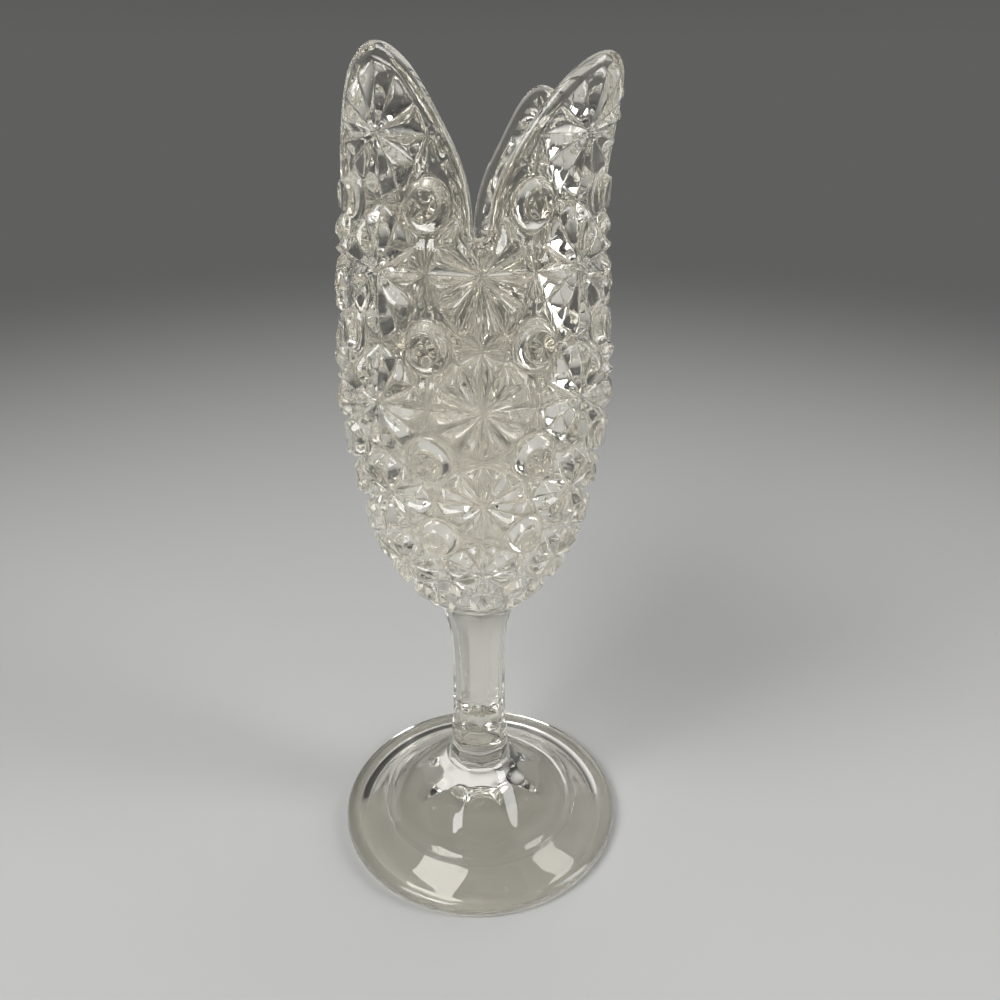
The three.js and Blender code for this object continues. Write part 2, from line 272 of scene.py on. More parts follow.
def finish_piece(piece, node, levels):
    """Gives a piece its glass, and its fused seams at the levels where it meets its neighbours."""
    bpy.ops.object.select_all(action="DESELECT")
    piece.select_set(True)
    bpy.context.view_layer.objects.active = piece
    bpy.ops.object.shade_smooth()
    piece.data.materials.append(clear_glass())
    piece.data.materials.append(fused_seam())
    for polygon in piece.data.polygons:
        flat = abs(polygon.normal.z) > 0.999
        if flat and any(abs(polygon.center.z - level) < 1e-6 for level in levels):
            polygon.material_index = 1
            polygon.use_smooth = False
    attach(piece, "root")
    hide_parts(node)


def foot_outline(sizes):
    """Outline of the foot from the middle of its hollow, round its edge and up to its neck."""
    radius, edge, depth = sizes.foot_radius, sizes.foot_edge, FOOT_ROUNDING
    hollow, step = radius - depth - REST_WIDTH, sizes.step_radius
    shares = (0.04, 0.12, 0.22, 0.34, 0.46, 0.58, 0.7, 0.8, 0.88, 0.94, 0.98)
    outline = [(hollow * share, HOLLOW_DEPTH * (1 - share ** 2)) for share in shares]
    outline += [(hollow - 0.1 * MM, 0.12 * MM), (hollow + 0.2 * MM, 0), (radius - depth - 0.2 * MM, 0)]
    for a in np.radians(np.arange(-80, 91, 17)):
        outline.append((radius - depth * (1 - math.cos(a)), edge / 2 * (1 + math.sin(a))))
    outline += [
        (radius - depth - 1 * MM, edge + 0.06 * MM), (radius - depth - 3 * MM, edge + 0.4 * MM),
        (radius - depth - 6 * MM, edge + 1.0 * MM), (step + 3.5 * MM, edge + 1.65 * MM),
        (step + 2 * MM, edge + 1.9 * MM), (step + 1 * MM, edge + 2 * MM),
        (step + 0.6 * MM, edge + 1.9 * MM), (step + 0.3 * MM, edge + 1.65 * MM),
        (step + 0.1 * MM, edge + 1.7 * MM), (step - 0.02 * MM, edge + 2.1 * MM),
        (step - 0.1 * MM, edge + 2.9 * MM), (step - 0.28 * MM, edge + 3.25 * MM),
        (step - 0.6 * MM, edge + 3.42 * MM), (step - 1.1 * MM, edge + 3.42 * MM),
    ]
    start_radius, start = step - 1.6 * MM, edge + DOME_START
    for t in np.linspace(0, 1, 25):
        radius = start_radius + (NECK_RADIUS - start_radius) * t
        outline.append((radius, start + (DOME_TOP - start) * t ** 1.9))
    neck = [(11.15, 27.35), (10.85, 27.6), (10.5, 27.72)]
    outline += [(r * MM, z * MM) for r, z in neck]
    outline.append((SEAM_RADIUS * MM, FOOT_TOP))
    return outline


class VASE_OT_foot(bpy.types.Operator):
    """Add the hollow foot with its rounded edge, step and fluted dome"""
    bl_idname = "vase.foot"
    bl_label = "Foot"

    def execute(self, context):
        sizes = context.scene.vase_sizes
        foot = turned_piece("vase_foot", foot_outline(sizes), SIDES)
        start = sizes.foot_edge + DOME_START

        def flutes(radius, azimuth, height):
            if height < start or radius > sizes.step_radius or height > FOOT_TOP - 0.01 * MM:
                return radius, height
            t = (sizes.step_radius - radius) / (sizes.step_radius - NECK_RADIUS)
            depth = sizes.flute_depth * min(1, 3.5 * t)
            if radius <= 11.2 * MM:
                depth *= max(0, radius / MM - SEAM_RADIUS)
            return radius, height - depth * abs(math.cos(sizes.panels / 2 * azimuth)) ** 1.3

        reshape(foot, flutes)
        finish_piece(foot, "foot", [FOOT_TOP])
        return {"FINISHED"}


class VASE_OT_collar(bpy.types.Operator):
    """Add the collar: a ring, and a knop whose section turns into the stem's panels"""
    bl_idname = "vase.collar"
    bl_label = "Collar"

    def execute(self, context):
        sizes = context.scene.vase_sizes
        ring, knop, stem = sizes.ring_radius / MM, sizes.knop_radius / MM, sizes.stem_foot / MM
        outline = [
            (SEAM_RADIUS, 27.75), (ring - 0.1, 27.95), (ring, 28.6), (ring + 0.03, 30), (ring, 31.6),
            (ring - 0.06, 32.8), (ring - 0.2, 33.5),
            (knop + 0.1, 33.95), (knop - 0.1, 34.4), (knop - 0.18, 34.9), (knop - 0.1, 35.6),
            (knop, 37.2), (knop, 39.4), (knop - 0.05, 41), (knop - 0.15, 42.2), (knop - 0.35, 43.2),
            (stem + 0.1, 44), (stem, 44.4), (stem - 0.12, 44.8), (stem - 0.26, 45.2), (stem - 0.42, 45.6),
            (stem - 0.6, 46), (stem - 0.78, 46.4), (stem - 0.9, 46.7), (stem - 0.95, 46.85),
        ]
        collar = turned_piece("vase_collar", [(r * MM, z * MM) for r, z in outline], SIDES)

        def panels(radius, azimuth, height):
            # Softly panelled between its ends, and near its top at least as wide as the stem's panels
            panelled = sizes.stem_foot * panel_share(azimuth, sizes.panels)
            square = 0.6 * (1 - float(eased(42.5 * MM, 45 * MM, height)))
            square *= float(eased(27.7 * MM, 28.5 * MM, height))
            swell = radius * (1 - square + square * panel_share(azimuth, sizes.panels, 30))
            return (max(swell, panelled) if height > 42 * MM else swell), height

        reshape(collar, panels)
        finish_piece(collar, "collar", [FOOT_TOP, COLLAR_TOP])
        return {"FINISHED"}


class VASE_OT_stem(bpy.types.Operator):
    """Add the stem with its flat panels, narrow at the waist and flared under the bowl"""
    bl_idname = "vase.stem"
    bl_label = "Stem"

    def execute(self, context):
        sizes = context.scene.vase_sizes
        waist, flare, foot = sizes.stem_waist, sizes.stem_flare, sizes.stem_foot
        outline = []
        for t in 1 - np.linspace(1, 0, 30) ** 1.3:
            radius = waist + (flare - waist) * t ** 4.6 + (foot - waist) * (1 - t) ** 6
            outline.append((radius, COLLAR_TOP + (STEM_TOP - COLLAR_TOP) * t))
        stem = turned_piece("vase_stem", outline, SIDES)
        reshape(stem, lambda radius, azimuth, height: (radius * panel_share(azimuth, sizes.panels), height))
        finish_piece(stem, "stem", [COLLAR_TOP, STEM_TOP])
        return {"FINISHED"}


# The bowl's relief, laid out flat: columns across, rows of daisies up

def row_height(row):
    """Height above the bowl's base of a row of the relief."""
    rows, heights = np.array(ROW_HEIGHTS).T
    return np.interp(row, rows, heights)


def fullness(row):
    """How wide a column is at a row, as a share of a full column."""
    return 2 * math.pi * smooth_at(BOWL_OUTLINE, row_height(row)) / COLUMNS / FULL_COLUMN


# Corners of a quarter of a daisy in columns and rows, shared with the star and the button beside it
STAR, NODE = 0.5, (0.40, 0.21)
# Height of the nodes over the valleys, in millimetres
NODE_RISE = 0.3
# Shares at which a petal is divided, across and outward, and a petal of a star across
ACROSS = [0, 0.05, 0.2, 0.41, 0.5, 0.59, 0.8, 0.95, 1]
OUTWARD = [0, 0.14, 0.28, 0.42, 0.55, 0.67, 0.79, 0.88, 0.95, 1]
STAR_ACROSS = [0, 1 / 3, 2 / 3, 1]
# Rise of a star's petal, as a share of a daisy's
STAR_RISE = 0.65


def petal_patch(apex, left, right, outward, across, rise, slope):
    """Grid of a raised petal: three corners (column, row, raise), and valleys along its sides."""
    apex, left, right = (np.array(corner, float) for corner in (apex, left, right))
    t = np.array(outward)[:, None, None]
    s = np.array(across)[None, :, None]
    grid = apex + t * ((1 - s) * left + s * right - apex)
    row = (apex[1] + left[1] + right[1]) / 3
    scale = np.array([FULL_COLUMN * fullness(row), row_height(row + 0.25) * 2 - row_height(row - 0.25) * 2])
    places = grid[..., :2] * scale

    def distance(a, b):
        a, b = a[:2] * scale, b[:2] * scale
        side = b - a
        off = (places[..., 0] - a[0]) * side[1] - (places[..., 1] - a[1]) * side[0]
        return np.abs(off) / np.hypot(*side) + 1e-9

    sides = [distance(apex, left), distance(apex, right), 1.2 * distance(left, right)]
    inside = sum(side ** -8 for side in sides) ** -0.125
    reach = np.clip(inside / (slope * fullness(row)), 0, 1)
    grid[..., 2] += rise * (1 - (1 - reach) ** 1.4)
    return grid


def grid_triangles(rows, columns, closed=False):
    """Triangles of a grid of points, numbered row by row; closed joins the last column to the first."""
    across = columns if closed else columns - 1
    r, c = np.meshgrid(np.arange(rows - 1), np.arange(across), indexing="ij")
    a, b = r * columns + c, r * columns + (c + 1) % columns
    d, e = a + columns, b + columns
    return np.concatenate([np.stack([a, b, e], -1).reshape(-1, 3), np.stack([a, e, d], -1).reshape(-1, 3)])


def quarter_turns(x, y):
    """The point (x, y) after no turn and after one, two and three quarter turns."""
    return [(x, y), (-y, x), (-x, -y), (y, -x)]


def button_patch(relief, column, row):
    """Rings of a button (column, row, raise), from the edge of its eight-sided cell to its middle."""
    long, short = STAR - NODE[1], STAR - NODE[0]
    valley = relief.valley / MM
    node = valley - NODE_RISE
    quarter = [(long, -short, node), (long, 0, valley), (long, short, node)]
    edge = []
    for k in range(4):
        corners = []
        for x, y, depth in quarter + [(short, long, node)]:
            corners.append(np.array([*quarter_turns(x, y)[k], -depth]))
        steps = [STAR_ACROSS[:-1], STAR_ACROSS[:-1], ACROSS[:-1]]
        for a, b, shares in zip(corners, corners[1:], steps):
            edge += [a + (b - a) * share for share in shares]
    edge = np.array(edge)
    full = fullness(row)
    scale = np.array([FULL_COLUMN * full, row_height(row + 0.5) - row_height(row - 0.5)])
    turn = np.arctan2(edge[:, 1] * scale[1], edge[:, 0] * scale[0])
    top = relief.button_rise / MM
    profile = [
        (7.5, -valley), (6.9, -valley - 0.25), (6.35, -valley - 0.2), (5.9, -valley + 0.3),
        (5.4, -valley + 1.2), (4.9, -valley + 2.25), (4.5, top - 0.45), (4.2, top - 0.1),
        (3.75, top), (3.1, top - 0.06), (2.3, top - 0.2), (1.3, top - 0.28),
    ]
    rings = [edge]
    for radius, raised in profile:
        ring = np.empty_like(edge)
        ring[:, 0] = radius * full * np.cos(turn) / scale[0]
        ring[:, 1] = radius * full * np.sin(turn) / scale[1]
        ring[:, 2] = raised
        rings.append(ring)
    rings.append(np.tile([0, 0, top - 0.3], (len(edge), 1)))
    grid = np.array(rings)
    grid[..., 0] += column
    grid[..., 1] += row
    return grid


def daisy_patches(relief, row):
    """The twelve petals of a daisy, or the upper six in the lowest row."""
    valley, centre = relief.valley / MM, relief.centre / MM
    node = valley - NODE_RISE
    rise, slope = relief.petal_rise / MM, relief.petal_slope / MM
    corners = []
    for quarter in range(4):
        for x, y, depth in ((STAR, 0, valley), (NODE[0], NODE[1], node), (NODE[1], NODE[0], node)):
            x, y = quarter_turns(x, y)[quarter]
            corners.append((x, row + y, -depth))
    for k in range(6 if row == ROWS[0] else 12):
        left, right = corners[k], corners[(k + 1) % 12]
        yield petal_patch((0, row, -centre), left, right, OUTWARD, ACROSS, rise, slope)


def star_patches(relief, row):
    """The petals of the small stars over a daisy and beside it, where the lowest row has half a star."""
    valley = relief.valley / MM
    node = valley - NODE_RISE
    rise, slope = STAR_RISE * (relief.petal_rise / MM), relief.petal_slope / MM
    across, along = STAR - NODE[0], NODE[1]
    for column, middle, upright in ((0, row + 0.5, True), (0.5, row, False)):
        star = (column, middle, -valley)
        for side in (1, -1):
            for end in (1, -1):
                if row == ROWS[0] and not upright and side == -1:
                    continue
                if upright:
                    node_at = (column + side * along, middle + end * across, -node)
                    mid_at = (column + side * along, middle, -valley)
                else:
                    node_at = (column + end * across, middle + side * along, -node)
                    mid_at = (column, middle + side * along, -valley)
                yield petal_patch(star, node_at, mid_at, ACROSS, STAR_ACROSS, rise, slope)


def relief_sheet(relief):
    """The whole relief laid out flat: points (column, row, raise in millimetres), and triangles."""
    points, triangles, count = [], [], 0

    def add(grid, closed=False):
        nonlocal count
        faces = grid_triangles(*grid.shape[:2], closed)
        flat = grid.reshape(-1, 3)
        (ax, ay), (bx, by), (cx, cy) = (flat[faces[:, i], :2].T for i in range(3))
        if ((bx - ax) * (cy - ay) - (cx - ax) * (by - ay)).sum() < 0:
            faces = faces[:, ::-1]
        points.append(flat)
        triangles.append(faces + count)
        count += len(flat)

    for row in ROWS:
        for patch in (*daisy_patches(relief, row), *star_patches(relief, row)):
            add(patch)
        add(button_patch(relief, 0.5, row + 0.5), closed=True)
    one = np.concatenate(points)
    faces = np.concatenate(triangles)
    sheet = np.concatenate([one + (column, 0, 0) for column in range(COLUMNS)])
    faces = np.concatenate([faces + column * len(one) for column in range(COLUMNS)])
    sheet[:, 0] %= COLUMNS
    # Points that fall in the same 20,000th of a column and of a row are one point
    parts = 20000
    keys = np.round(sheet[:, :2] * parts).astype(np.int64)
    keys[:, 0] %= COLUMNS * parts
    _, first, same = np.unique(keys, axis=0, return_index=True, return_inverse=True)
    sheet, faces = sheet[first], same.reshape(-1)[faces]
    whole = (faces[:, 0] != faces[:, 1]) & (faces[:, 1] != faces[:, 2]) & (faces[:, 2] != faces[:, 0])
    return sheet, faces[whole]


def spline(points, steps):
    """Points on the smooth curve through points, some steps to each stretch."""
    points = np.array(points, float)
    last = len(points) - 1
    curve = []
    for i in range(last):
        p0, p1, p2, p3 = points[max(i - 1, 0)], points[i], points[i + 1], points[min(i + 2, last)]
        v0, v1 = (p2 - p0) / 2, (p3 - p1) / 2
        for t in np.arange(steps) / steps:
            cubic, square = 2 * p1 - 2 * p2 + v0 + v1, 3 * p2 - 3 * p1 - 2 * v0 - v1
            curve.append(cubic * t ** 3 + square * t * t + v0 * t + p1)
    curve.append(points[last])
    return np.array(curve)


def rim_curve(count):
    """The rim laid out flat: evenly spaced points (arc, height), and normals into the glass."""
    mirrored = POINT_OUTLINE + [(0, 1)] + [(-a, s) for a, s in reversed(POINT_OUTLINE)]
    half = spline(mirrored, 24)[: 24 * len(POINT_OUTLINE) + 1]
    curve = []
    for k, (azimuth, height, _, _) in enumerate(RIM_POINTS):
        before, after = NOTCH_FLOORS[k - 1], NOTCH_FLOORS[k]
        curve += [(azimuth - a, before + (height - before) * s) for a, s in half[:-1]]
        curve += [(azimuth + a, after + (height - after) * s) for a, s in half[:0:-1]]
    curve = np.array(curve)
    curve[:, 0] = np.radians(curve[:, 0]) * RIM_RADIUS
    closed = np.concatenate([curve, curve[:1] + (RIM_LENGTH, 0)])
    length = np.concatenate([[0], np.cumsum(np.hypot(*np.diff(closed, axis=0).T))])
    at = np.linspace(0, length[-1], count, endpoint=False)
    even = np.stack([np.interp(at, length, closed[:, 0]), np.interp(at, length, closed[:, 1])], 1)
    side = np.roll(even, -2, 0) - np.roll(even, 2, 0)
    side[:, 0] %= RIM_LENGTH
    side[:, 0] = (side[:, 0] + RIM_LENGTH / 2) % RIM_LENGTH - RIM_LENGTH / 2
    side /= np.hypot(*side.T)[:, None]
    return even, np.stack([side[:, 1], -side[:, 0]], 1)


def rim_distance(arc, height, curve):
    """How far each flat place lies inside the rim, and the nearest place on the rim."""
    low = curve[0, 0]
    arc = (arc - low) % RIM_LENGTH + low
    wide = np.concatenate([curve - (RIM_LENGTH, 0), curve, curve + (RIM_LENGTH, 0)])
    wide = wide[(wide[:, 0] > low - 20) & (wide[:, 0] < low + RIM_LENGTH + 20)]
    distance = np.full(len(arc), 1e3)
    nearest = np.zeros((len(arc), 2))
    # Places more than 14 mm under the lowest notch count as far from the rim
    near = np.flatnonzero(height > min(NOTCH_FLOORS) - 14)
    # In parts, so that the table of gaps stays small
    for part in np.array_split(near, 60):
        if len(part) == 0:
            continue
        gap = (arc[part, None] - wide[None, :, 0]) ** 2 + (height[part, None] - wide[None, :, 1]) ** 2
        best = gap.argmin(1)
        distance[part] = np.sqrt(gap[np.arange(len(part)), best])
        nearest[part] = wide[best]
    above = height > np.interp(arc, wide[:, 0], wide[:, 1])
    return np.where(above, -distance, distance), nearest, arc


def tip_share(arc, height):
    """How far up a rim point each flat place is, from 0 at its notch to 1 at its tip."""
    azimuth = np.degrees(arc / RIM_RADIUS)
    quarter = np.round((azimuth - RIM_POINTS[0][0]) / 90).astype(int) % 4
    table = np.array(RIM_POINTS)
    offset = (azimuth - table[quarter, 0] + 180) % 360 - 180
    floors = np.array(NOTCH_FLOORS)
    floor = np.where(offset > 0, floors[quarter], floors[quarter - 1])
    return np.clip((height - floor) / (table[quarter, 1] - floor), 0, 1), quarter


def on_bowl(arc, height, depth, sizes):
    """Places in space of flat places, raised by depth off the bowl's outline."""
    slope = smooth_at(BOWL_OUTLINE, height + 0.5) - smooth_at(BOWL_OUTLINE, height - 0.5)
    length = np.hypot(1, slope)
    radius = smooth_at(BOWL_OUTLINE, height) + depth / length
    level = height - depth * slope / length
    return shaped(arc / RIM_RADIUS, radius, level, sizes)


def in_bowl(arc, height, sizes):
    """Places on the smooth inside of the bowl."""
    climb = np.clip((height - CAVITY_FLOOR) / 18, 0, 1)
    radius = (smooth_at(BOWL_OUTLINE, height) - sizes.bowl_wall / MM) * np.sqrt(1 - (1 - climb) ** 2)
    return shaped(arc / RIM_RADIUS, radius, height, sizes)


def shaped(azimuth, radius, level, sizes):
    """Leans each rim point out or in and to its side, and gives the foot of the bowl the stem's panels."""
    climb, quarter = tip_share(azimuth * RIM_RADIUS, level)
    table = np.array(RIM_POINTS)
    radius = radius + table[quarter, 2] * climb ** 2
    square = 1 - eased(-0.1, 2.5, level)
    radius = radius * (1 - square + square * panel_share(azimuth, sizes.panels))
    azimuth = azimuth + np.radians(table[quarter, 3]) * climb
    return np.stack([radius * np.sin(azimuth), -radius * np.cos(azimuth), level + BOWL_BASE / MM], 1)


def cut_sheet(values, faces, keep):
    """Cuts triangles where keep falls below 0, with new points on the cut edges; snapped points have 0."""
    sign = np.sign(keep).astype(int)
    signs = sign[faces]
    kept = [tuple(face) for face in faces[(signs >= 0).all(1) & (signs > 0).any(1)]]
    added, names = [], {}
    for face in faces[(signs > 0).any(1) & (signs < 0).any(1)]:
        polygon = []
        for a, b in zip(face, np.roll(face, -1)):
            if sign[a] >= 0:
                polygon.append(a)
            if sign[a] * sign[b] < 0:
                edge = (min(a, b), max(a, b))
                if edge not in names:
                    share = keep[edge[0]] / (keep[edge[0]] - keep[edge[1]])
                    names[edge] = len(values) + len(added)
                    added.append(values[edge[0]] + share * (values[edge[1]] - values[edge[0]]))
                polygon.append(names[edge])
        kept += [(polygon[0], b, c) for b, c in zip(polygon[1:], polygon[2:])]
    return (np.concatenate([values, added]) if added else values), np.array(kept)


def open_loops(faces):
    """The loops of edges that only one triangle uses, each a list of points in order."""
    edges = np.concatenate([faces[:, [0, 1]], faces[:, [1, 2]], faces[:, [2, 0]]])
    used = {(a, b) for a, b in edges.tolist()}
    following = {a: b for a, b in used if (b, a) not in used}
    loops = []
    while following:
        start, point = following.popitem()
        loop = [start]
        while point != start:
            loop.append(point)
            point = following.pop(point)
        loops.append(loop)
    return loops


def zipped(places, first, second):
    """Triangles between two closed loops that run side by side, whatever their numbers of points."""
    def winding(loop):
        turn = np.unwrap(np.arctan2(places[loop, 0], -places[loop, 1]))
        return turn[-1] - turn[0]

    first = first if winding(first) > 0 else first[::-1]
    second = second if winding(second) > 0 else second[::-1]
    gap = np.linalg.norm(places[second] - places[first[0]], axis=1)
    start = int(gap.argmin())
    second = second[start:] + second[:start]
    i = j = 0
    triangles = []
    while i < len(first) or j < len(second):
        a, b = first[i % len(first)], second[j % len(second)]
        a2, b2 = first[(i + 1) % len(first)], second[(j + 1) % len(second)]
        one = np.linalg.norm(places[a2] - places[b]) if i < len(first) else math.inf
        other = np.linalg.norm(places[a] - places[b2]) if j < len(second) else math.inf
        if one <= other:
            triangles.append((a, a2, b))
            i += 1
        else:
            triangles.append((a, b2, b))
            j += 1
    return triangles


def flat_arc(values):
    """Arc of each point whose first two values are the cosine and the sine of its azimuth."""
    return (np.arctan2(values[:, 1], values[:, 0]) / (2 * math.pi) % 1) * RIM_LENGTH


def snapped_to_cut(arc, height, curve, reach):
    """Flat places, with those within reach of the cut along the rim moved onto it, and their distances."""
    distance, nearest, arc = rim_distance(arc, height, curve)
    flat = np.stack([arc, height], 1)
    close = np.abs(distance - RIM_CUT) < reach
    away = (flat[close] - nearest[close]) * (RIM_CUT / distance[close])[:, None]
    flat[close] = nearest[close] + away
    distance[close] = RIM_CUT
    return flat[:, 0], flat[:, 1], distance


def ring_strip(rings):
    """Rings of places, each joined to the next: places, triangles, first and last loop."""
    count, total = len(rings[0]), len(rings) * len(rings[0])
    triangles = grid_triangles(len(rings), count, closed=True)
    return np.concatenate(rings), triangles, list(range(count)), list(range(total - count, total))


def bowl_outside(sizes, relief, curve):
    """The outside, cut along the rim and above the skirt: places, triangles, lower and upper loop."""
    sheet, triangles = relief_sheet(relief)
    arc, height = sheet[:, 0] / COLUMNS * RIM_LENGTH, row_height(sheet[:, 1])
    arc, height, distance = snapped_to_cut(arc, height, curve, reach=0.3)
    height[np.abs(height - SKIRT_TOP) < 0.25] = SKIRT_TOP
    # The smooth band along the rim is wider at the tips
    tip, _ = tip_share(arc, height)
    inner = distance - 1.6 * eased(0.88, 1.0, tip) * (distance < 20)
    width = relief.rim_width / MM
    clear = eased(width, width + 1.7, inner) * eased(SKIRT_TOP - 0.4, SKIRT_TOP + 1.2, height)
    smooth = np.where(height < SKIRT_TOP + 10, -SKIRT_DEPTH, -relief.rim_depth / MM)
    full = np.clip(fullness(sheet[:, 1]), 0, 1)
    depth = smooth + (sheet[:, 2] * full - smooth) * clear
    turn = arc / RIM_RADIUS
    values = np.stack([np.cos(turn), np.sin(turn), height, depth], 1)
    values, triangles = cut_sheet(values, triangles, distance - RIM_CUT)
    over = values[:, 2] - SKIRT_TOP
    values, triangles = cut_sheet(values, triangles, np.where(np.abs(over) < 1e-6, 0, over))
    used, triangles = np.unique(triangles, return_inverse=True)
    triangles = triangles.reshape(-1, 3)
    arc, height, depth = flat_arc(values)[used], values[used, 2], values[used, 3]
    loops = sorted(open_loops(triangles), key=len)[-2:]
    lower, upper = sorted(loops, key=lambda loop: height[loop].mean())
    return on_bowl(arc, height, depth, sizes), triangles, lower, upper


def bowl_rim(sizes, relief):
    """The rim, rounded over the edge of the wall: places, triangles, outer and inner loop."""
    rim, wall = relief.rim_depth / MM, sizes.bowl_wall / MM
    rings = [(RIM_BAND, -rim)]
    for a in np.radians(np.arange(0, 181, 18)):
        rings.append((RIM_EDGE * (1 - math.sin(a)), -rim - (wall - rim) * (1 - math.cos(a)) / 2))
    rings.append((RIM_BAND, -wall))
    edge, into = rim_curve(count=800)
    strip = []
    for inset, level in rings:
        flat = edge + inset * into
        strip.append(on_bowl(flat[:, 0], flat[:, 1], np.full(len(flat), level), sizes))
    return ring_strip(strip)


def bowl_inside(sizes, curve):
    """The smooth inside, cut along the rim: places, triangles, loops at its floor and at its mouth."""
    columns, rows = 144, 46
    arcs = np.arange(columns) / columns * RIM_LENGTH
    levels = CAVITY_FLOOR + 0.02 + 155 * (np.arange(1, rows) / (rows - 1)) ** 1.5
    arc, height = (grid.ravel() for grid in np.meshgrid(arcs, levels))
    triangles = grid_triangles(len(levels), columns, closed=True)
    arc, height, distance = snapped_to_cut(arc, height, curve, reach=0.6)
    turn = arc / RIM_RADIUS
    values = np.stack([np.cos(turn), np.sin(turn), height], 1)
    values, triangles = cut_sheet(values, triangles, distance - RIM_CUT)
    used, triangles = np.unique(triangles, return_inverse=True)
    triangles = triangles.reshape(-1, 3)
    arc, height = flat_arc(values)[used], values[used, 2]
    loops = sorted(open_loops(triangles), key=lambda loop: height[loop].mean())
    return in_bowl(arc, height, sizes), triangles, loops[0], loops[-1]


def bowl_skirt(sizes):
    """The smooth skirt from the relief down to the seat: places, triangles, upper and lower loop."""
    arcs = np.arange(SIDES) / SIDES * RIM_LENGTH
    rings = []
    for level in (SKIRT_TOP - 0.4, 3.4, 2.9, 2.4, 1.9, 1.4, 0.95, 0.55, 0.2, SEAT_LEVEL):
        depth = -SKIRT_DEPTH * float(eased(0, 3, level))
        rings.append(on_bowl(arcs, np.full(SIDES, level), np.full(SIDES, depth), sizes))
    return ring_strip(rings)


def bowl_surface(sizes, relief):
    """The whole closed surface of the bowl: places and triangles."""
    curve, _ = rim_curve(count=2400)
    sheets = [
        bowl_outside(sizes, relief, curve), bowl_rim(sizes, relief),
        bowl_inside(sizes, curve), bowl_skirt(sizes),
    ]
    places, triangles, loops, start = [], [], [], 0
    for sheet, faces, first, last in sheets:
        places.append(sheet)
        triangles.append(faces + start)
        loops += [[start + i for i in loop] for loop in (first, last)]
        start += len(sheet)
    lower, upper, outer, inner, floor, mouth, skirt, seat = loops
    places.append(np.array([[0, 0, STEM_TOP / MM], [0, 0, BOWL_BASE / MM + CAVITY_FLOOR]]))
    places = np.concatenate(places)
    joins = zipped(places, upper, outer) + zipped(places, mouth, inner) + zipped(places, lower, skirt)
    # The seat and the floor close on the last two places, in the middle
    joins += [(seat[i - 1], seat[i], start) for i in range(len(seat))]
    joins += [(floor[i - 1], floor[i], start + 1) for i in range(len(floor))]
    # The seat lies exactly on the top of the stem
    places[np.abs(places[:, 2] - STEM_TOP / MM) < 0.02, 2] = STEM_TOP / MM
    return places, np.concatenate([*triangles, joins])


class VASE_OT_bowl(bpy.types.Operator):
    """Add the bowl with its relief, its four rim points and its smooth inside"""
    bl_idname = "vase.bowl"
    bl_label = "Bowl"

    def execute(self, context):
        places, triangles = bowl_surface(context.scene.vase_sizes, context.scene.relief_sizes)
        data = bpy.data.meshes.new("vase_bowl")
        data.from_pydata((places * MM).tolist(), [], triangles.tolist())
        bowl = bpy.data.objects.new("vase_bowl", data)
        context.scene.collection.objects.link(bowl)
        bpy.ops.object.select_all(action="DESELECT")
        bowl.select_set(True)
        context.view_layer.objects.active = bowl
        bpy.ops.object.mode_set(mode="EDIT")
        bpy.ops.mesh.select_all(action="SELECT")
        bpy.ops.mesh.remove_doubles(threshold=2e-6)
        bpy.ops.mesh.normals_make_consistent(inside=False)
        bpy.ops.object.mode_set(mode="OBJECT")
        shape = bmesh.new()
        shape.from_mesh(data)
        broken = sum(not edge.is_manifold for edge in shape.edges)
        shape.free()
        if broken:
            raise RuntimeError(f"the bowl has {broken} open edges")
        finish_piece(bowl, "bowl", [STEM_TOP])
        return {"FINISHED"}


# Materials

def new_material(name):
    """A node material and its lone Principled BSDF."""
    material = bpy.data.materials.new(name)
    material.use_nodes = True
    return material, material.node_tree.nodes["Principled BSDF"]


def clear_glass():
    """Clear pressed glass: faintly rippled, and scuffed where it rests."""
    if "clear pressed glass" in bpy.data.materials:
        return bpy.data.materials["clear pressed glass"]
    material, bsdf = new_material("clear pressed glass")
    nodes, links = material.node_tree.nodes, material.node_tree.links
    bsdf.inputs["Base Color"].default_value = (*bpy.context.scene.vase_colors.glass, 1)
    bsdf.inputs["Transmission Weight"].default_value = 1
    bsdf.inputs["IOR"].default_value = 1.5
    place = nodes.new("ShaderNodeTexCoord")
    ripple = nodes.new("ShaderNodeTexNoise")
    ripple.inputs["Scale"].default_value = 180
    ripple.inputs["Detail"].default_value = 2
    bump = nodes.new("ShaderNodeBump")
    bump.inputs["Strength"].default_value = 0.08
    bump.inputs["Distance"].default_value = 0.4 * MM
    links.new(place.outputs["Object"], ripple.inputs["Vector"])
    links.new(ripple.outputs["Fac"], bump.inputs["Height"])
    links.new(bump.outputs["Normal"], bsdf.inputs["Normal"])
    apart = nodes.new("ShaderNodeSeparateXYZ")
    scuff = nodes.new("ShaderNodeMapRange")
    scuff.inputs["From Min"].default_value = 0.02 * MM
    scuff.inputs["From Max"].default_value = 0.25 * MM
    scuff.inputs["To Min"].default_value = 0.35
    scuff.inputs["To Max"].default_value = 0.01
    links.new(place.outputs["Object"], apart.inputs["Vector"])
    links.new(apart.outputs["Z"], scuff.inputs["Value"])
    links.new(scuff.outputs["Result"], bsdf.inputs["Roughness"])
    return material


def fused_seam():
    """The hidden face where two pieces were joined hot: light passes straight through."""
    if "fused seam" in bpy.data.materials:
        return bpy.data.materials["fused seam"]
    material, bsdf = new_material("fused seam")
    bsdf.inputs["Base Color"].default_value = (1, 1, 1, 1)
    bsdf.inputs["Transmission Weight"].default_value = 1
    bsdf.inputs["IOR"].default_value = 1
    bsdf.inputs["Roughness"].default_value = 0
    bsdf.inputs["Specular IOR Level"].default_value = 0
    return material


# The grey distance that the floor fades into
HORIZON = (0.115, 0.115, 0.113)
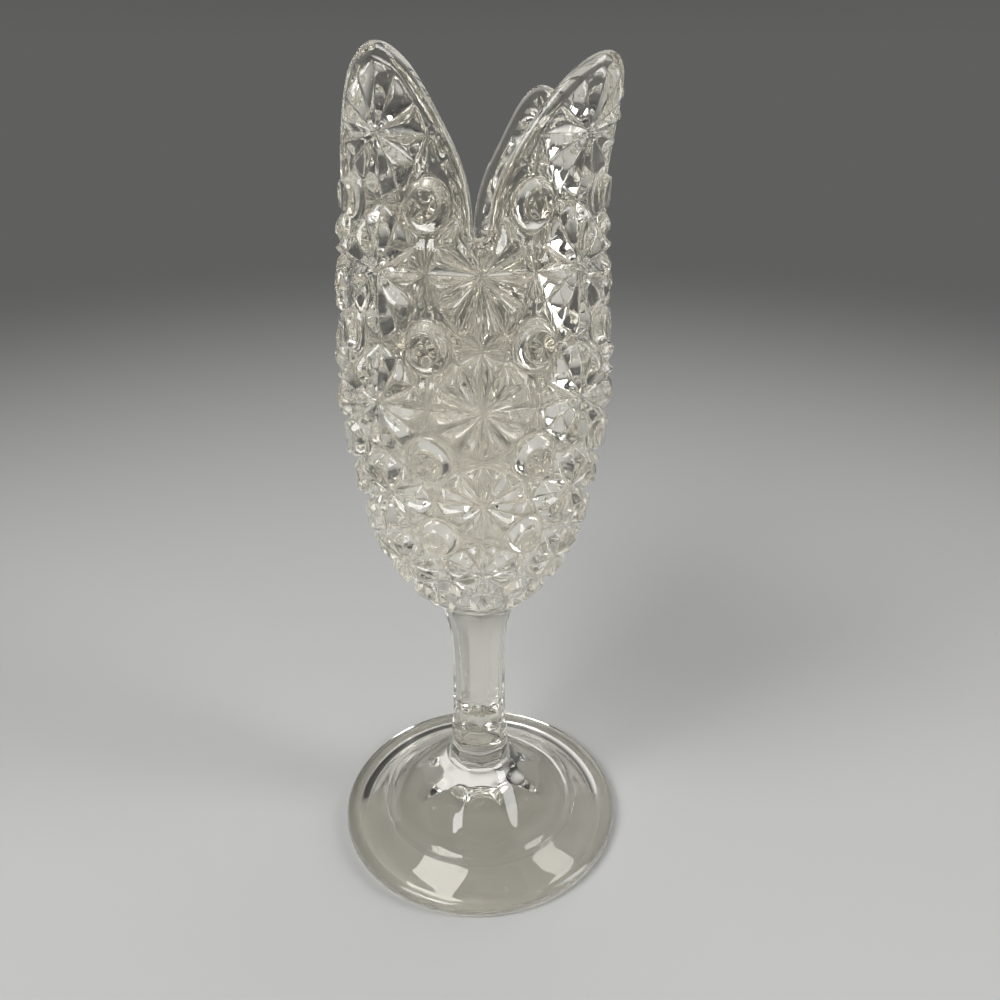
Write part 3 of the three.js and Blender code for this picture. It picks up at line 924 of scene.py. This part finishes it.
# A soft screen high behind the vase: its direction, its light, and the angles from its middle
# at which it has faded out and is full
SCREEN_SIDE = (0.35, 0.75, 0.95)
SCREEN = (0.85, 0.85, 0.85)
SCREEN_END, SCREEN_FULL = math.radians(42), math.radians(14)


def floor_finish():
    """Pale matt floor near the vase, which fades into the background far from it."""
    material, bsdf = new_material("pale floor")
    nodes, links = material.node_tree.nodes, material.node_tree.links
    color = bpy.context.scene.vase_colors.floor
    bsdf.inputs["Base Color"].default_value = (*color, 1)
    bsdf.inputs["Roughness"].default_value = 0.6
    bsdf.inputs["Specular IOR Level"].default_value = 0.2
    place = nodes.new("ShaderNodeTexCoord")
    length = nodes.new("ShaderNodeVectorMath")
    length.operation = "LENGTH"
    fade = nodes.new("ShaderNodeMapRange")
    fade.interpolation_type = "SMOOTHSTEP"
    fade.inputs["From Min"].default_value = 0.14
    fade.inputs["From Max"].default_value = 1.1
    far = nodes.new("ShaderNodeEmission")
    far.inputs["Color"].default_value = (*HORIZON, 1)
    mix = nodes.new("ShaderNodeMixShader")
    links.new(place.outputs["Object"], length.inputs[0])
    links.new(length.outputs["Value"], fade.inputs["Value"])
    links.new(fade.outputs["Result"], mix.inputs["Fac"])
    links.new(bsdf.outputs["BSDF"], mix.inputs[1])
    links.new(far.outputs["Emission"], mix.inputs[2])
    links.new(mix.outputs["Shader"], nodes["Material Output"].inputs["Surface"])
    return material


def studio_world():
    """Soft surroundings: grey at the horizon, darker above, with a soft white screen behind the vase."""
    world = bpy.data.worlds.new("studio")
    world.use_nodes = True
    nodes, links = world.node_tree.nodes, world.node_tree.links
    place = nodes.new("ShaderNodeTexCoord")
    apart = nodes.new("ShaderNodeSeparateXYZ")
    ramp = nodes.new("ShaderNodeValToRGB")
    ramp.color_ramp.elements[0].color = (*HORIZON, 1)
    ramp.color_ramp.elements[0].position = 0.03
    ramp.color_ramp.elements[1].color = (0.03, 0.03, 0.031, 1)
    ramp.color_ramp.elements[1].position = 0.75
    middle = ramp.color_ramp.elements.new(0.3)
    middle.color = (0.05, 0.05, 0.05, 1)
    links.new(place.outputs["Generated"], apart.inputs["Vector"])
    links.new(apart.outputs["Z"], ramp.inputs["Fac"])
    toward = nodes.new("ShaderNodeVectorMath")
    toward.operation = "DOT_PRODUCT"
    toward.inputs[1].default_value = Vector(SCREEN_SIDE).normalized()
    screen = nodes.new("ShaderNodeMapRange")
    screen.interpolation_type = "SMOOTHSTEP"
    screen.inputs["From Min"].default_value = math.cos(SCREEN_END)
    screen.inputs["From Max"].default_value = math.cos(SCREEN_FULL)
    mix = nodes.new("ShaderNodeMixRGB")
    mix.inputs["Color2"].default_value = (*SCREEN, 1)
    links.new(place.outputs["Generated"], toward.inputs[0])
    links.new(toward.outputs["Value"], screen.inputs["Value"])
    links.new(screen.outputs["Result"], mix.inputs["Fac"])
    links.new(ramp.outputs["Color"], mix.inputs["Color1"])
    links.new(mix.outputs["Color"], nodes["Background"].inputs["Color"])
    return world


def add_lamp(name, place, aim, size, power):
    """A soft rectangular lamp that faces aim."""
    bpy.ops.object.select_all(action="DESELECT")
    bpy.ops.object.light_add(type="AREA", location=place)
    lamp = bpy.context.object
    lamp.name = lamp.data.name = name
    lamp.data.shape = "RECTANGLE"
    lamp.data.size, lamp.data.size_y = size
    lamp.data.energy = power
    lamp.rotation_euler = (Vector(aim) - Vector(place)).to_track_quat("-Z", "Y").to_euler()


class VASE_OT_stage(bpy.types.Operator):
    """Add the floor, the lamps, the surroundings and the camera"""
    bl_idname = "vase.stage"
    bl_label = "Stage"

    def execute(self, context):
        bpy.ops.object.select_all(action="DESELECT")
        bpy.ops.mesh.primitive_circle_add(vertices=96, radius=8, fill_type="NGON", location=(0, 0, 0))
        floor = context.object
        floor.name = "studio_floor"
        floor.data.materials.append(floor_finish())
        context.scene.world = studio_world()
        aim = (0, 0, 0.14)
        add_lamp("key lamp", (-0.7, -0.6, 1.0), aim, (0.8, 0.6), 15)
        add_lamp("fill lamp", (0.95, -0.35, 0.55), aim, (0.35, 0.9), 7)
        turn = (math.radians(64.01), 0, math.radians(-4.52))
        bpy.ops.object.camera_add(location=(-0.0119, -0.2415, 0.2440), rotation=turn)
        camera = context.object
        camera.data.lens = 31.49
        camera.data.sensor_width = 36
        camera.data.clip_start = 0.01
        context.scene.camera = camera
        context.scene.view_settings.view_transform = "Standard"
        # Light that is reflected many times inside thick glass still gets out
        context.scene.cycles.max_bounces = 24
        context.scene.cycles.transmission_bounces = 24
        context.scene.cycles.glossy_bounces = 16
        return {"FINISHED"}


class VASE_PT_builder(bpy.types.Panel):
    bl_label = "Pressed Glass Vase"
    bl_idname = "VASE_PT_builder"
    bl_space_type = "VIEW_3D"
    bl_region_type = "UI"
    bl_category = "Vase"

    def draw(self, context):
        layout, scene = self.layout, context.scene
        for group in (scene.vase_sizes, scene.relief_sizes, scene.vase_colors):
            column = layout.column(align=True)
            for name in group.bl_rna.properties.keys():
                if name not in ("rna_type", "name"):
                    column.prop(group, name)
        for operator in OPERATORS:
            layout.operator(operator.bl_idname)


OPERATORS = (VASE_OT_foot, VASE_OT_collar, VASE_OT_stem, VASE_OT_bowl, VASE_OT_stage)
CLASSES = (VaseSizes, ReliefSizes, VaseColors, *OPERATORS, VASE_PT_builder)


def register():
    for cls in CLASSES:
        bpy.utils.register_class(cls)
    bpy.types.Scene.vase_sizes = PointerProperty(type=VaseSizes)
    bpy.types.Scene.relief_sizes = PointerProperty(type=ReliefSizes)
    bpy.types.Scene.vase_colors = PointerProperty(type=VaseColors)


def unregister():
    del bpy.types.Scene.vase_colors
    del bpy.types.Scene.relief_sizes
    del bpy.types.Scene.vase_sizes
    for cls in reversed(CLASSES):
        bpy.utils.unregister_class(cls)


def main():
    register()
    bpy.ops.vase.foot()
    bpy.ops.vase.collar()
    bpy.ops.vase.stem()
    bpy.ops.vase.bowl()
    bpy.ops.vase.stage()


if __name__ == "__main__":
    main()
